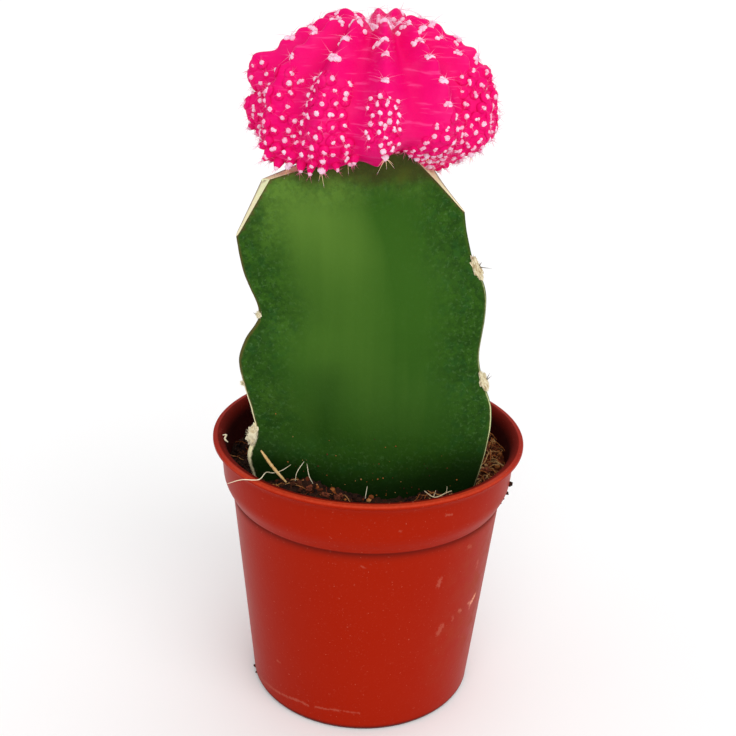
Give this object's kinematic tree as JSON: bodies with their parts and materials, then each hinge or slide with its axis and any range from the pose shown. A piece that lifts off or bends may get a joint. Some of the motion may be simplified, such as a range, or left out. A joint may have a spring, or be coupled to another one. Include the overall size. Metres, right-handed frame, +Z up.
{
  "type": "potted moon cactus",
  "caption": "Grafted moon cactus: a ribbed hot-pink scion with knobbly offsets on a flat-faced green three-ribbed rootstock, in a small red plastic nursery pot of peat.",
  "frame": {"origin": "centre of the pot's foot ring, on the surface the pot stands on", "axes": "+Z up the plant, -Y towards its flat face between the left and right ribs, +X to the right of that face"},
  "size_m": [0.055, 0.055, 0.1226],
  "materials": {
    "pot_plastic": "semi-gloss moulded plastic in terracotta red, lightly scuffed",
    "peat": "loose brown-black peat with reddish fibres",
    "stem_skin": "waxy green skin, mottled near the ribs, with corky rib margins and dry cream cuts",
    "scion_skin": "fleshy hot-pink skin, satin",
    "offset_skin": "small pink knobs tipped with pale wool",
    "areole_felt": "cream felt with short brown spines",
    "crown_wool": "pale pink wool",
    "straw": "dry tan plant fibre",
    "bark": "reddish-brown bark crumb",
    "root_bark": "light brown root bark"
  },
  "bodies": {
    "root": {"nursery_pot": "pot_plastic", "potting_soil": "peat", "root_system": "root_bark", "rootstock": "stem_skin", "areole_left_upper": "areole_felt", "areole_left_middle": "areole_felt", "areole_left_lower": "areole_felt", "areole_right_upper": "areole_felt", "areole_right_lower": "areole_felt", "areole_back_upper": "areole_felt", "areole_back_lower": "areole_felt", "scion": "scion_skin", "offset_cluster_01": "offset_skin", "offset_cluster_02": "offset_skin", "offset_cluster_03": "offset_skin", "offset_cluster_04": "offset_skin", "offset_cluster_05": "offset_skin", "offset_cluster_06": "offset_skin", "offset_cluster_07": "offset_skin", "offset_cluster_08": "offset_skin", "offset_cluster_09": "offset_skin", "offset_cluster_10": "offset_skin", "offset_cluster_11": "offset_skin", "offset_cluster_12": "offset_skin", "crown_wool": "crown_wool", "straw": "straw", "root_hair_over_rim": "straw", "root_hair_left": "straw", "root_hair_middle": "straw", "root_hair_front": "straw", "rootlet_curl": "straw", "rootlet_fork": "straw", "bark_crumb_1": "bark", "bark_crumb_2": "bark", "bark_crumb_3": "bark", "bark_crumb_4": "bark", "bark_crumb_5": "bark", "bark_crumb_6": "bark", "bark_crumb_7": "bark", "bark_crumb_8": "bark", "bark_crumb_9": "bark"}
  },
  "joints": []
}
